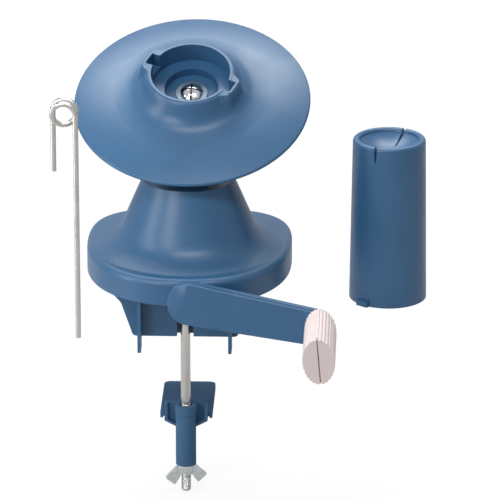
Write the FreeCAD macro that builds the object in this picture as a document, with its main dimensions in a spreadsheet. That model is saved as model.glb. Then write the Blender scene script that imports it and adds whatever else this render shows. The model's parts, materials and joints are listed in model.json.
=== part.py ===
import FreeCAD, Part
import math
import os
import re
import Sketcher

# Yarn ball winder, clamped to a table top.
# Origin: main vertical axis at the table contact plane. +X right, +Y away from the crank, +Z up.
# The driving sizes, in millimetres and degrees, are the cells of one spreadsheet.

SIZES = [
    ("wall", 2.5, "moulded wall"),
    ("gap", 0.3, "running clearance between moving mouldings"),
    ("fit", 0.05, "radial clearance of shafts and pressed pieces"),
    ("base_width", 123.0, "saucer base across"),
    ("base_front", 63.5, "saucer in front of the main axis"),
    ("base_rear", 66.5, "saucer behind the main axis"),
    ("base_belly", 12.0, "widest place of the saucer, behind the main axis"),
    ("front_power", 2.2, "fullness of the outline before its widest place, 2 for an ellipse"),
    ("rear_power", 3.0, "fullness of the outline behind it"),
    ("skirt_bottom", 25.5, "lower edge of the saucer wall"),
    ("skirt_top", 41.5, "level rim of the saucer's top"),
    ("shoulder_round", 3.8, "rounding of the shoulder"),
    ("rim_reach", 56.4, "radius where the saucer's top begins to rise"),
    ("rim_round", 4.0, "rounding of that rise"),
    ("flare_bend", 42.8, "radius where the saucer's top turns up into the neck"),
    ("flare_height", 47.9, "height there"),
    ("flare_round", 20.0, "rounding of that turn"),
    ("neck_radius", 27.4, "neck radius at its top"),
    ("neck_top", 84.0, "top face of the neck"),
    ("deck", 3.0, "thickness of the neck's top"),
    ("boss_wall", 3.5, "wall of the boss round the upper bush"),
    ("boss_bottom", 68.0, "lower end of that boss"),
    ("pedestal_wall", 6.0, "wall of the pedestal under the fixed gear"),
    ("box_half", 31.9, "foot box half width at the table"),
    ("box_flare", 37.6, "foot box half width under its flare"),
    ("box_flare_height", 19.8, "height where the flare starts"),
    ("box_mouth", 45.5, "foot box half width where it meets the saucer"),
    ("box_half_depth", 46.3, "foot box half depth"),
    ("box_round", 3.0, "rounding of the foot box's lower corners"),
    ("floor", 2.4, "floor of the foot box"),
    ("groove_width", 9.8, "groove for the clamp rod"),
    ("groove_depth", 5.7, "depth of that groove"),
    ("groove_height", 12.0, "height of that groove"),
    ("anchor_height", 21.0, "top of the block that holds the rod"),
    ("post_place_x", 47.0, "screw posts of the saucer, across"),
    ("post_front", 19.5, "front screw posts, in front of the main axis"),
    ("post_rear", 28.5, "rear screw posts, behind the main axis"),
    ("post_dia", 7.0, "screw posts"),
    ("screw_head", 5.8, "housing screw heads"),
    ("screw_shank", 3.0, "housing screw shanks"),
    ("screw_length", 10.0, "housing screw shank length"),
    ("screw_cap", 1.6, "housing screw head height"),
    ("fin_place", 26.8, "fins either side of the main axis"),
    ("fin_thick", 2.0, "fin thickness"),
    ("fin_reach", 10.5, "fins stand out of the foot box"),
    ("fin_drop", 6.8, "fins reach below the table top"),
    ("rod_dia", 5.8, "clamp rod"),
    ("rod_place", 44.2, "rod axis in front of the main axis"),
    ("rod_bottom", 99.5, "rod end below the table contact plane"),
    ("rod_seat", 19.0, "upper end of the rod"),
    ("pin_dia", 2.5, "cross pin of the rod"),
    ("pin_height", 15.5, "height of that pin"),
    ("jaw_drop", 51.5, "clamping face below the table contact plane"),
    ("jaw_width", 31.2, "jaw plate across"),
    ("jaw_front", 39.0, "front edge of the jaw plate"),
    ("jaw_back", 10.7, "back edge of the jaw plate"),
    ("jaw_plate", 2.6, "jaw plate thickness"),
    ("jaw_round", 4.0, "rounding of the jaw plate's far corners"),
    ("lip_drop", 3.6, "side lips of the jaw below its face"),
    ("lip_thick", 1.8, "side lip thickness"),
    ("shield_width", 25.8, "shield behind the tube"),
    ("shield_top", 45.0, "shield top below the table contact plane"),
    ("shield_bottom", 55.9, "shield corners below the table contact plane"),
    ("shield_point", 3.9, "shield's lower edge below its corners"),
    ("shield_reach", 5.0, "depth of the shield's side walls"),
    ("tube_dia", 12.2, "jaw tube"),
    ("tube_bore", 7.4, "bore of the jaw tube"),
    ("tube_length", 38.0, "jaw tube length"),
    ("tube_top", 44.3, "tube top below the table contact plane"),
    ("tube_ring", 5.6, "height of the thicker ring at the tube's top"),
    ("tube_step", 0.4, "that ring stands out"),
    ("nut_dia", 10.0, "wing nut flange"),
    ("nut_flange", 1.6, "wing nut flange thickness"),
    ("nut_hub", 8.6, "wing nut hub at its lower end"),
    ("nut_height", 6.5, "wing nut hub height"),
    ("wing_span", 26.0, "wing nut across its wings"),
    ("wing_drop", 12.9, "wing tips below the nut's top"),
    ("wing_thick", 2.0, "wing thickness"),
    ("nut_turn", 18.0, "wing direction at rest"),
    ("crank_height", 30.6, "crank axis above the table"),
    ("crank_angle", -10.8, "crank arm at rest, from +X"),
    ("crank_radius", 82.0, "crank axis to knob axis"),
    ("arm_clear", 2.3, "crank arm in front of the saucer"),
    ("arm_thick", 7.6, "depth of the crank arm"),
    ("arm_hub", 12.8, "radius of the arm at its hub"),
    ("arm_shift", 3.5, "that radius is centred beyond the crank axis"),
    ("arm_tip", 10.4, "half height of the arm at its tip"),
    ("arm_past", 7.0, "arm beyond the knob axis"),
    ("arm_lip", 1.2, "front lip of the arm's edges"),
    ("arm_groove", 1.2, "groove along the arm's edges behind that lip"),
    ("arm_groove_depth", 1.0, "depth of that groove"),
    ("arm_round", 5.6, "rounding of the arm's outer hub edge"),
    ("arm_skin", 2.0, "walls of the channel behind the arm"),
    ("crank_shaft_dia", 8.0, "crank shaft"),
    ("crank_tube_dia", 15.0, "bearing tube of the crank shaft"),
    ("crank_bush_dia", 11.0, "crank bushes outside"),
    ("crank_bush_length", 9.0, "crank bush length"),
    ("tube_back", 19.0, "rear end of the bearing tube"),
    ("knob_width", 18.9, "knob section across"),
    ("knob_height", 27.6, "knob section tall"),
    ("knob_length", 50.0, "knob length"),
    ("knob_angle", -5.0, "lean of the knob section at rest"),
    ("rib_depth", 0.6, "depth of the knob's flutes"),
    ("rib_count", 28, "flutes round the knob"),
    ("slit_width", 0.6, "slit across the knob's end"),
    ("slit_depth", 3.0, "depth of that slit"),
    ("knob_pin_dia", 6.0, "knob pin"),
    ("pin_head_dia", 10.0, "head of the knob pin, behind the arm"),
    ("pin_seat_front", 5.2, "seat of that head behind the arm's front face"),
    ("shaft_front", 5.4, "crank shaft enters the arm by this"),
    ("shaft_rear", 8.4, "rear end of the crank shaft in front of the main axis"),
    ("main_shaft_dia", 7.0, "main vertical shaft"),
    ("shaft_top", 101.0, "top end of the main shaft, in the rotor head"),
    ("main_bush_dia", 11.0, "main shaft bushes outside"),
    ("lower_bush_bottom", 34.0, "lower bush bottom"),
    ("lower_bush_length", 10.0, "lower bush length"),
    ("upper_bush_length", 18.0, "upper bush length"),
    ("tower_front", 3.2, "bearing tower in front of the main axis"),
    ("tower_back", 15.0, "bearing tower behind the main axis"),
    ("tower_half", 7.0, "bearing tower half width"),
    ("pinion_teeth", 12, "drive pinion"),
    ("crown_teeth", 48, "crown gear on the crank shaft"),
    ("crown_radius", 23.5, "crown gear pitch radius at mid face"),
    ("drive_face", 6.0, "face width of the drive gears"),
    ("crown_plate", 3.6, "crown gear plate behind its teeth"),
    ("crown_hub", 8.5, "crown gear hub radius"),
    ("crown_end", 16.0, "front end of that hub before the main axis"),
    ("window_radius", 4.6, "windows in the crown gear"),
    ("window_place", 14.2, "radius of their middles"),
    ("clip_thick", 1.2, "clip that holds the crown gear"),
    ("tilt", 26.5, "disc axis from vertical"),
    ("rotor_rest", -2.4, "direction of the tilt at rest, from -Y"),
    ("apex_height", 178.7, "where the tilted axis crosses the main axis"),
    ("disc_drop", 64.0, "disc rim plane below that crossing, along the tilted axis"),
    ("disc_radius", 70.8, "disc rim"),
    ("disc_skin", 2.4, "disc wall"),
    ("rim_edge", 1.6, "height of the disc's rim band"),
    ("dome_height", 10.5, "disc surface at the foot of the collar"),
    ("dome_foot", 33.0, "radius where the collar's fillet starts"),
    ("collar_height", 25.0, "collar above the rim plane"),
    ("socket_radius", 23.7, "socket that takes the spindle"),
    ("collar_lip", 1.4, "collar wall at its rim"),
    ("ledge_height", 12.0, "ledge that the spindle stands on"),
    ("well_radius", 16.2, "well inside the ledge"),
    ("well_floor", 6.5, "floor of the well"),
    ("notch_width", 9.0, "bayonet notches in the collar"),
    ("notch_floor", 15.5, "bottom of the notches"),
    ("notch_reach", 28.4, "radius that the notches reach"),
    ("notch_wall", 1.2, "wall of the pocket round each notch"),
    ("notch_angle", -24.0, "direction of the first notch"),
    ("axle_dia", 8.0, "tilted axle"),
    ("washer_dia", 19.0, "washer under the hub screw"),
    ("washer_thick", 1.2, "washer thickness"),
    ("screw_dia", 13.4, "hub screw head"),
    ("sun_teeth", 16, "fixed sun gear"),
    ("ring_teeth", 52, "ring gear under the disc"),
    ("sun_middle", 91.0, "sun gear at mid face"),
    ("orbit_face", 4.6, "face width of the disc gears"),
    ("ring_rim", 2.0, "ring gear wall outside its teeth"),
    ("head_radius", 11.0, "boss of the rotor head"),
    ("head_top", 3.0, "rotor head above the rim plane"),
    ("head_thick", 9.0, "rotor head thickness"),
    ("spindle_place_x", 119.4, "spindle standing apart, across"),
    ("spindle_place_y", 27.0, "spindle standing apart, back"),
    ("spindle_height", 100.8, "spindle height"),
    ("spindle_low", 23.4, "spindle radius at its foot"),
    ("spindle_high", 21.9, "spindle radius at its rim"),
    ("spindle_skin", 2.0, "spindle wall"),
    ("lip_round", 2.1, "rounding of the spindle's rim"),
    ("bowl_depth", 9.0, "depth of the bowl in the spindle's top"),
    ("slit_drop", 9.5, "yarn slits below the spindle's rim"),
    ("slit_mouth", 2.4, "yarn slits at the rim"),
    ("slit_angle", -112.0, "direction of the first yarn slit"),
    ("slit_apart", 175.0, "second yarn slit from the first"),
    ("lug_width", 8.0, "bayonet lugs across"),
    ("lug_reach", 1.5, "bayonet lugs stand out"),
    ("lug_height", 3.4, "bayonet lug height"),
    ("lug_angle", 232.0, "direction of the first lug"),
    ("guide_place_x", -56.5, "guide leg, left of the main axis"),
    ("guide_place_y", -136.5, "guide leg, in front of the main axis"),
    ("guide_foot", 33.9, "lower end of the guide"),
    ("guide_leg", 133.0, "guide leg up to its eye"),
    ("guide_tail", 36.0, "guide tail below its eye"),
    ("wire_dia", 3.1, "guide wire"),
    ("eye_radius", 6.7, "eye of the guide, to the wire's middle"),
    ("eye_pitch", 6.6, "eye advance in one turn"),
]

# Sizes that follow from others.
DERIVED = {
    "arm_back": "(base_front + arm_clear)",
    "neck_lean": "((flare_bend - neck_radius) / (neck_top - flare_height))",
}

NAMES = [row[0] for row in SIZES]
VALUE = {row[0]: row[1] for row in SIZES}
TURN = 360.0
WINDER = FreeCAD.newDocument("YarnBallWinder")
PIECES = []
OUTLINE_POINTS = 24


def write_sheet():
    """Puts every driving size into its own cell, with its alias."""
    sheet = WINDER.addObject("Spreadsheet::Sheet", "Sizes")
    for line, (name, value, meaning) in enumerate(SIZES, start=1):
        sheet.set("A%d" % line, name)
        sheet.set("B%d" % line, str(value))
        sheet.set("C%d" % line, meaning)
        sheet.setAlias("B%d" % line, name)
    WINDER.recompute()
    return sheet


SHEET = write_sheet()


def formula(text):
    """Turns plain size names into references to the sheet."""
    def refer(match):
        word = match.group(0)
        if word in DERIVED:
            return formula(DERIVED[word])
        return "Sizes." + word if word in NAMES else word
    return re.sub(r"[A-Za-z_]\w*", refer, str(text))


def number(text):
    """The present value of a formula."""
    result = SHEET.evalExpression(formula(text))
    return float(getattr(result, "Value", result))


def bind(item, **formulas):
    """Binds properties to formulas; a double underscore stands for a dot."""
    for name, text in formulas.items():
        item.setExpression(name.replace("__", "."), formula(text))
    return item


TURNED = {"z": ((0, 0, 1), 0), "y": ((1, 0, 0), -90), "x": ((0, 1, 0), 90), "-z": ((1, 0, 0), 180)}


def place(item, x=0, y=0, z=0, along="z"):
    """Places an item by formulas, with its own Z laid along an axis."""
    axis, angle = TURNED[along]
    item.Placement = FreeCAD.Placement(FreeCAD.Vector(), FreeCAD.Rotation(FreeCAD.Vector(axis), angle))
    return bind(item, Placement__Base__x=x, Placement__Base__y=y, Placement__Base__z=z)


def box(name, size_x, size_y, size_z, x, y, z):
    item = WINDER.addObject("Part::Box", name)
    bind(item, Length=size_x, Width=size_y, Height=size_z)
    return place(item, x, y, z)


def cylinder(name, radius, height, x=0, y=0, z=0, along="z"):
    item = WINDER.addObject("Part::Cylinder", name)
    bind(item, Radius=radius, Height=height)
    return place(item, x, y, z, along)


def fuse(name, *items):
    item = WINDER.addObject("Part::MultiFuse", name)
    item.Shapes = list(items)
    item.Refine = False
    return item


def cut(name, base, *tools):
    item = WINDER.addObject("Part::Cut", name)
    item.Base = base
    item.Tool = tools[0] if len(tools) == 1 else fuse(name + "_tools", *tools)
    return item


def common(name, first, second):
    item = WINDER.addObject("Part::MultiCommon", name)
    item.Shapes = [first, second]
    return item


def feature(name, shape):
    item = WINDER.addObject("Part::Feature", name)
    item.Shape = shape
    return item


def piece(label, item):
    """Marks an item as a finished piece and names its file."""
    item.Label = label
    PIECES.append(item)
    return item


# Sketched outlines. A corner is (x, y) for a straight run to it, or (x, y, radius) for an arc to it:
# a positive radius turns left on the way and a negative one turns right.

def arc_between(start, end, radius):
    """The circular arc from start to end, as sketch geometry."""
    size = abs(radius)
    middle = (start + end) / 2
    chord = end - start
    side = FreeCAD.Vector(-chord.y, chord.x, 0).normalize()
    offset = math.sqrt(max(size ** 2 - (chord.Length / 2) ** 2, 0))
    centre = middle + side * offset * (1 if radius > 0 else -1)
    first, last = (start, end) if radius > 0 else (end, start)
    angles = [math.atan2(point.y - centre.y, point.x - centre.x) for point in (first, last)]
    circle = Part.Circle(centre, FreeCAD.Vector(0, 0, 1), size)
    return Part.ArcOfCircle(circle, angles[0], angles[1])


def hold(sketch, index, end, axis, text):
    """Holds one coordinate of an end point by a formula."""
    value = number(text)
    if abs(value) < 1e-9:
        sketch.addConstraint(Sketcher.Constraint("PointOnObject", index, end, -2 if axis == "X" else -1))
        return
    row = sketch.addConstraint(Sketcher.Constraint("Distance" + axis, index, end, value))
    sketch.setExpression("Constraints[%d]" % row, formula(text))


def outline(sketch, corners):
    """Draws a closed outline and holds every corner and radius by its formula."""
    points = [FreeCAD.Vector(number(corner[0]), number(corner[1]), 0) for corner in corners]
    ends = []
    for index, corner in enumerate(corners):
        start = points[index - 1]
        radius = number(corner[2]) if len(corner) > 2 else 0
        if radius:
            row = sketch.addGeometry(arc_between(start, points[index], radius), False)
        else:
            row = sketch.addGeometry(Part.LineSegment(start, points[index]), False)
        ends.append((row, 1, 2) if radius >= 0 else (row, 2, 1))
        if radius:
            sign = "" if radius > 0 else "-1 * "
            held = sketch.addConstraint(Sketcher.Constraint("Radius", row, abs(radius)))
            sketch.setExpression("Constraints[%d]" % held, sign + "(" + formula(corner[2]) + ")")
    for index, corner in enumerate(corners):
        row, _, last = ends[index]
        following = ends[(index + 1) % len(ends)]
        sketch.addConstraint(Sketcher.Constraint("Coincident", row, last, following[0], following[1]))
        hold(sketch, row, last, "X", corner[0])
        hold(sketch, row, last, "Y", corner[1])


def sketch_in(body, plane, corners, offset=0):
    """A sketch on one of the body's own planes, moved along the plane's normal."""
    sketch = body.newObject("Sketcher::SketchObject", body.Name + "_sketch")
    origin_plane = [item for item in body.Origin.OriginFeatures if item.Role == plane][0]
    sketch.AttachmentSupport = [(origin_plane, "")]
    sketch.MapMode = "FlatFace"
    bind(sketch, AttachmentOffset__Base__z=offset)
    outline(sketch, corners)
    return sketch


def new_body(name):
    return WINDER.addObject("PartDesign::Body", name)


def pad(body, corners, length, plane="XY_Plane", offset=0, reverse=False):
    sketch = sketch_in(body, plane, corners, offset)
    item = body.newObject("PartDesign::Pad", body.Name + "_pad")
    item.Profile = sketch
    item.Reversed = reverse
    return bind(item, Length=length)


def revolve(body, corners):
    """A solid of revolution about the body's Z axis, from an outline in its XZ plane."""
    sketch = sketch_in(body, "XZ_Plane", corners)
    item = body.newObject("PartDesign::Revolution", body.Name + "_turned")
    item.Profile = sketch
    item.ReferenceAxis = (sketch, ["V_Axis"])
    item.Angle = TURN
    return item


def round_edges(body, base, radius, wanted):
    """Rounds the edges of a feature that the test picks."""
    WINDER.recompute()
    names = ["Edge%d" % (i + 1) for i, edge in enumerate(base.Shape.Edges) if wanted(edge)]
    item = body.newObject("PartDesign::Fillet", body.Name + "_round")
    item.Base = (base, names)
    return bind(item, Radius=radius)


def turned(name, corners):
    """A body made by one revolution."""
    body = new_body(name)
    revolve(body, corners)
    return body


def padded(name, corners, length, plane="XY_Plane", offset=0, reverse=False):
    """A body made by one pad."""
    body = new_body(name)
    pad(body, corners, length, plane, offset, reverse)
    return body


# Gears. Every pair is a pair of bevel gears whose tooth lines meet in one apex on the main axis.

TOOTH = {"tip": 0.8, "root": 1.15, "thick": 0.40, "slope": math.tan(math.radians(20))}


def tooth_ring(teeth, radius, phase, inward=False):
    """Points of a toothed polygon in the XY plane; a tooth lies at the phase angle."""
    module = 2 * radius / teeth
    sign = -1 if inward else 1
    tip = radius + sign * TOOTH["tip"] * module
    root = radius - sign * TOOTH["root"] * module
    half = TOOTH["thick"] * math.pi * module / 2
    half_tip = half - TOOTH["tip"] * module * TOOTH["slope"]
    half_root = half + TOOTH["root"] * module * TOOTH["slope"]
    points = []
    for number_of_tooth in range(teeth):
        middle = math.radians(phase) + 2 * math.pi * number_of_tooth / teeth
        for reach, side in ((root, -half_root), (tip, -half_tip), (tip, half_tip), (root, half_root)):
            angle = middle + side / reach
            points.append(FreeCAD.Vector(reach * math.cos(angle), reach * math.sin(angle), 0))
    return points


def toothed_cone(teeth, radius, height, face, phase, inward=False):
    """A toothed cone about Z with its apex at the origin and its pitch circle at -height."""
    slant = math.hypot(radius, height)
    wires = []
    for step in (-0.5, 0.5):
        scale = 1 + step * face / slant
        ring = [FreeCAD.Vector(p.x * scale, p.y * scale, -height * scale)
                for p in tooth_ring(teeth, radius, phase, inward)]
        wires.append(Part.makePolygon(ring + ring[:1]))
    return Part.makeLoft(wires, True, True)


def quads_between(first, second):
    """Flat four-sided faces between two closed rings of points."""
    faces = []
    for index in range(len(first)):
        corners = [first[index - 1], first[index], second[index], second[index - 1]]
        faces.append(Part.Face(Part.makePolygon(corners + corners[:1])))
    return faces


def crown_teeth(teeth, radius, height, face, phase, back):
    """A crown of teeth about Z with its apex at the origin, on a flat plate at -back."""
    module = 2 * radius / teeth
    half = TOOTH["thick"] * math.pi * module / 2
    half_tip = half - TOOTH["tip"] * module * TOOTH["slope"]
    half_root = half + TOOTH["root"] * module * TOOTH["slope"]
    tip = height - TOOTH["tip"] * module
    root = height + TOOTH["root"] * module
    rings = [[], [], [], []]
    for index in range(teeth):
        middle = math.radians(phase) + 2 * math.pi * index / teeth
        for depth, side in ((root, -half_root), (tip, -half_tip), (tip, half_tip), (root, half_root)):
            angle = middle + side / radius
            for ring, step in ((0, -0.5), (1, 0.5)):
                scale = 1 + step * face / radius
                reach = radius * scale
                rings[ring].append(
                    FreeCAD.Vector(reach * math.cos(angle), reach * math.sin(angle), -depth * scale))
    for front, rear in ((1, 2), (0, 3)):
        rings[rear] = [FreeCAD.Vector(point.x, point.y, -back) for point in rings[front]]
    faces = []
    for index in range(4):
        faces += quads_between(rings[index], rings[(index + 1) % 4])
    return Part.makeSolid(Part.makeShell(faces))


def moved(shape, placement):
    copy = shape.copy()
    copy.Placement = placement
    return copy


# The tilted axis. Disc pieces are drawn with their own Z on it and their origin in the rim plane.

def tilted(distance):
    """The frame on the tilted axis, a distance below the crossing of the axes."""
    axis_turn = FreeCAD.Rotation(FreeCAD.Vector(0, 0, 1), VALUE["rotor_rest"])
    lean = FreeCAD.Rotation(FreeCAD.Vector(1, 0, 0), VALUE["tilt"])
    turn = axis_turn * lean
    crossing = FreeCAD.Vector(0, 0, VALUE["apex_height"])
    return FreeCAD.Placement(crossing - turn.multVec(FreeCAD.Vector(0, 0, distance)), turn)


def on_disc_axis(item, height=0):
    item.Placement = tilted(VALUE["disc_drop"] - height)
    return item


def sun_angle():
    """Half angle of the sun gear's pitch cone: the ring gear's is this plus the tilt."""
    lean = math.radians(VALUE["tilt"])
    ratio = VALUE["ring_teeth"] / VALUE["sun_teeth"]
    return math.atan2(math.sin(lean), ratio - math.cos(lean))


# Base: the saucer with its neck, and the foot box below it.

def saucer_reach(angle, inset):
    """The saucer's outline from its widest place, in a direction, drawn in by an inset."""
    side = "rear" if math.sin(angle) > 0 else "front"
    depth = number("base_%s" % side) + VALUE["base_belly"] * (-1 if side == "rear" else 1) - inset
    across = abs(math.cos(angle)) / (VALUE["base_width"] / 2 - inset)
    along = abs(math.sin(angle)) / depth
    power = VALUE[side + "_power"]
    return (across ** power + along ** power) ** (-1 / power)


def saucer_prism(name, inset, low, tall):
    """An upright prism over the saucer's outline, drawn in by an inset."""
    points = []
    for index in range(OUTLINE_POINTS):
        angle = 2 * math.pi * index / OUTLINE_POINTS
        reach = saucer_reach(angle, number(inset))
        points.append(FreeCAD.Vector(reach * math.cos(angle), VALUE["base_belly"] + reach * math.sin(angle),
                                     number(low)))
    curve = Part.BSplineCurve()
    curve.interpolate(Points=points, PeriodicFlag=True)
    item = WINDER.addObject("Part::Extrusion", name)
    item.Base = feature(name + "_outline", Part.Wire([curve.toShape()]))
    item.Dir = FreeCAD.Vector(0, 0, 1)
    item.Solid = True
    return bind(item, LengthFwd=tall)


def flare_form(name, inset, drop):
    """The saucer's rising top and the neck, turned about the main axis, drawn in by a wall and a drop."""
    body = new_body(name)
    far = "base_rear + 8"
    bend_height = "flare_height - 0.76 * (%s)" % inset
    form = revolve(body, [
        (far, "skirt_bottom - (%s)" % drop),
        (far, "skirt_top - (%s)" % inset),
        ("rim_reach - 0.2 * (%s)" % inset, "skirt_top - (%s)" % inset),
        ("flare_bend - 0.76 * (%s)" % inset, bend_height),
        ("neck_radius - 1.09 * (%s) + (%s) * neck_lean" % (inset, drop), "neck_top - (%s)" % drop),
        ("0", "neck_top - (%s)" % drop),
        ("0", "skirt_bottom - (%s)" % drop),
    ])
    for index, (text, radius) in enumerate(((bend_height, "flare_round"), ("skirt_top - (%s)" % inset, "rim_round"))):
        height = number(text)
        form = round_edges(body, form, "%s + (%s)" % (radius, inset),
                           lambda edge: abs(edge.CenterOfMass.z - height) < 0.01
                           and edge.BoundBox.XLength < 2 * number(far) - 1)
    return body


def base_form(name, inset, drop):
    """The solid form of saucer and neck, drawn in by a wall and lowered by a drop."""
    low = "skirt_bottom - (%s)" % drop
    return common(name, flare_form(name + "_flare", inset, drop),
                  saucer_prism(name + "_prism", inset, low, "neck_top - skirt_bottom + 5"))


SCREW_SPOTS = [{"x": side + "post_place_x", "y": along} for side in ("", "-") for along in ("-post_front", "post_rear")]


def build_base_housing():
    sharp = base_form("base_sharp", "0", "0")
    WINDER.recompute()
    outer = WINDER.addObject("Part::Fillet", "base_outer")
    outer.Base = sharp
    radius = VALUE["shoulder_round"]
    outer.Edges = [(index + 1, radius, radius) for index, edge in enumerate(sharp.Shape.Edges)
                   if shoulder_edge(edge)]
    inner = base_form("base_inner", "wall", "deck")
    boss = cylinder("base_boss", "main_bush_dia / 2 + boss_wall", "neck_top - boss_bottom", z="boss_bottom")
    pedestal = cylinder("base_pedestal", "main_bush_dia / 2 + pedestal_wall",
                        "sun_middle - orbit_face / 2 - neck_top", z="neck_top")
    bore = cylinder("base_bore", "main_bush_dia / 2 + fit", "40", z="boss_bottom - 8")
    crank_gate = cylinder("base_gate", "crank_tube_dia / 2 + gap", "40",
                          y="-base_front - 10", z="crank_height", along="y")
    gate_mouth = box("base_gate_mouth", "crank_tube_dia + 2 * gap", "40", "crank_height - skirt_bottom + 5",
                     "-crank_tube_dia / 2 - gap", "-base_front - 10", "skirt_bottom - 5")
    posts = fuse("base_posts", *[
        cylinder("base_post%d" % index, "post_dia / 2", "flare_height - skirt_bottom",
                 z="skirt_bottom + floor + fit", **spot) for index, spot in enumerate(SCREW_SPOTS)])
    trimmed = common("base_posts_trimmed", posts, base_form("base_middle", "wall / 2", "0"))
    shell = cut("base_shell", outer, inner)
    whole = fuse("base_whole", shell, boss, pedestal, trimmed)
    holes = [cylinder("base_post_hole%d" % index, "screw_shank / 2 + fit", "screw_length + 1", z="skirt_bottom",
                      **spot) for index, spot in enumerate(SCREW_SPOTS)]
    piece("base_housing", cut("base_housing_cut", whole, bore, crank_gate, gate_mouth, *holes))


def shoulder_edge(edge):
    """Tells the edge where the saucer's wall meets its sloping top."""
    box_of_edge = edge.BoundBox
    return box_of_edge.ZMin > number("skirt_bottom + 2") and box_of_edge.XLength > number("flare_bend * 2")


def build_foot_housing():
    flare = "box_flare_height"
    front = padded("foot_block", [
        ("-box_half + box_round", "0", "box_round * 1.05"),
        ("box_half - box_round", "0"),
        ("box_half", "box_round", "box_round * 1.05"),
        ("box_flare", flare),
        ("box_mouth", "skirt_bottom - fit", "-9"),
        ("-box_mouth", "skirt_bottom - fit"),
        ("-box_flare", flare, "-9"),
        ("-box_half", "box_round"),
    ], "2 * box_half_depth", "XZ_Plane", "-box_half_depth")
    lid = saucer_prism("foot_lid", "wall + fit", "skirt_bottom - 0.5", "floor + 0.5")
    limit = saucer_prism("foot_limit", "wall / 2", "0", "skirt_bottom")
    hollow = box("foot_hollow", "2 * (box_half - wall)", "2 * (box_half_depth - wall)", "40",
                 "-box_half + wall", "-box_half_depth + wall", "floor")
    anchor = box("foot_anchor", "groove_width + 10", "17", "anchor_height",
                 "-groove_width / 2 - 5", "-box_half_depth", "0")
    tube = cylinder("foot_tube", "crank_tube_dia / 2", "arm_back - gap - tube_back",
                    y="-arm_back + gap", z="crank_height", along="y")
    saddle = box("foot_saddle", "crank_tube_dia * 0.7", "box_half_depth - tube_back - 1", "crank_height - floor",
                 "-crank_tube_dia * 0.35", "-box_half_depth + 1", "floor")
    tower = box("foot_tower", "2 * tower_half", "tower_front + tower_back", "lower_bush_bottom + 8 - floor",
                "-tower_half", "-tower_front", "floor")
    tower_ring = cylinder("foot_tower_ring", "main_bush_dia / 2 + 0.6", "lower_bush_length + 2",
                          z="lower_bush_bottom - 2")
    stiffener = box("foot_stiffener", "2.4", "box_half_depth - tower_back", "30",
                    "-1.2", "tower_back - 0.5", "floor - 0.5")
    fins = [box("foot_fin%d" % side, "fin_thick", "fin_reach + 1", "fin_drop + skirt_bottom - fit",
                "%d * fin_place - fin_thick / 2" % side, "-box_half_depth - fin_reach", "-fin_drop")
            for side in (-1, 1)]
    block = cut("foot_shell", fuse("foot_outer", common("foot_trimmed", front, limit), lid), hollow)
    whole = fuse("foot_whole", block, anchor, tube, saddle, tower, tower_ring, stiffener, *fins)
    groove = box("foot_groove", "groove_width", "groove_depth + 1", "groove_height + 1",
                 "-groove_width / 2", "-box_half_depth - 1", "-1")
    rod_hole = cylinder("foot_rod_hole", "rod_dia / 2 + fit", "rod_seat", y="-rod_place", z="0")
    pin_hole = cylinder("foot_pin_hole", "pin_dia / 2 + fit", "40", x="-20", y="-rod_place", z="pin_height",
                        along="x")
    crank_bore = cylinder("foot_crank_bore", "crank_bush_dia / 2 + fit", "60",
                          y="-arm_back - 1", z="crank_height", along="y")
    bush_bore = cylinder("foot_bush_bore", "main_bush_dia / 2 + fit", "20", z="lower_bush_bottom")
    screw_holes = [cylinder("foot_screw_hole%d" % index, "screw_shank / 2 + fit", "12", z="skirt_bottom - 4",
                            **spot) for index, spot in enumerate(SCREW_SPOTS)]
    piece("foot_housing", cut("foot_cut", whole, groove, rod_hole, pin_hole, crank_bore, bush_bore,
                              *screw_holes))


def build_housing_screws():
    screws = []
    for index, spot in enumerate(SCREW_SPOTS):
        head = cylinder("housing_screw_head%d" % index, "screw_head / 2", "screw_cap",
                        z="skirt_bottom - 0.5 - fit - screw_cap", **spot)
        shank = cylinder("housing_screw_shank%d" % index, "screw_shank / 2", "screw_length",
                         z="skirt_bottom - 1 - screw_cap / 2", **spot)
        screws.append(fuse("housing_screw%d" % index, head, shank))
    piece("housing_screws", feature_group("housing_screw_group", screws))


def feature_group(name, items):
    """Several like pieces as one group of separate solids."""
    item = WINDER.addObject("Part::Compound", name)
    item.Links = items
    return item


# Clamp: rod, its cross pin, the sliding jaw and the wing nut.

def build_clamp_rod():
    body = turned("clamp_rod_body", [
        ("rod_dia / 2 - 0.8", "-rod_bottom"),
        ("rod_dia / 2", "-rod_bottom + 0.8", "0.8"),
        ("rod_dia / 2", "rod_seat - 0.5"),
        ("0", "rod_seat - 0.5"),
        ("0", "-rod_bottom"),
    ])
    place(body, y="-rod_place")
    pin_hole = cylinder("rod_pin_hole", "pin_dia / 2 + fit", "2 * rod_dia", x="-rod_dia", y="-rod_place",
                        z="pin_height", along="x")
    piece("clamp_rod", cut("clamp_rod_cut", body, pin_hole))
    piece("rod_pin", cylinder("rod_pin_body", "pin_dia / 2", "groove_width + 8", x="-groove_width / 2 - 4",
                              y="-rod_place", z="pin_height", along="x"))


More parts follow.
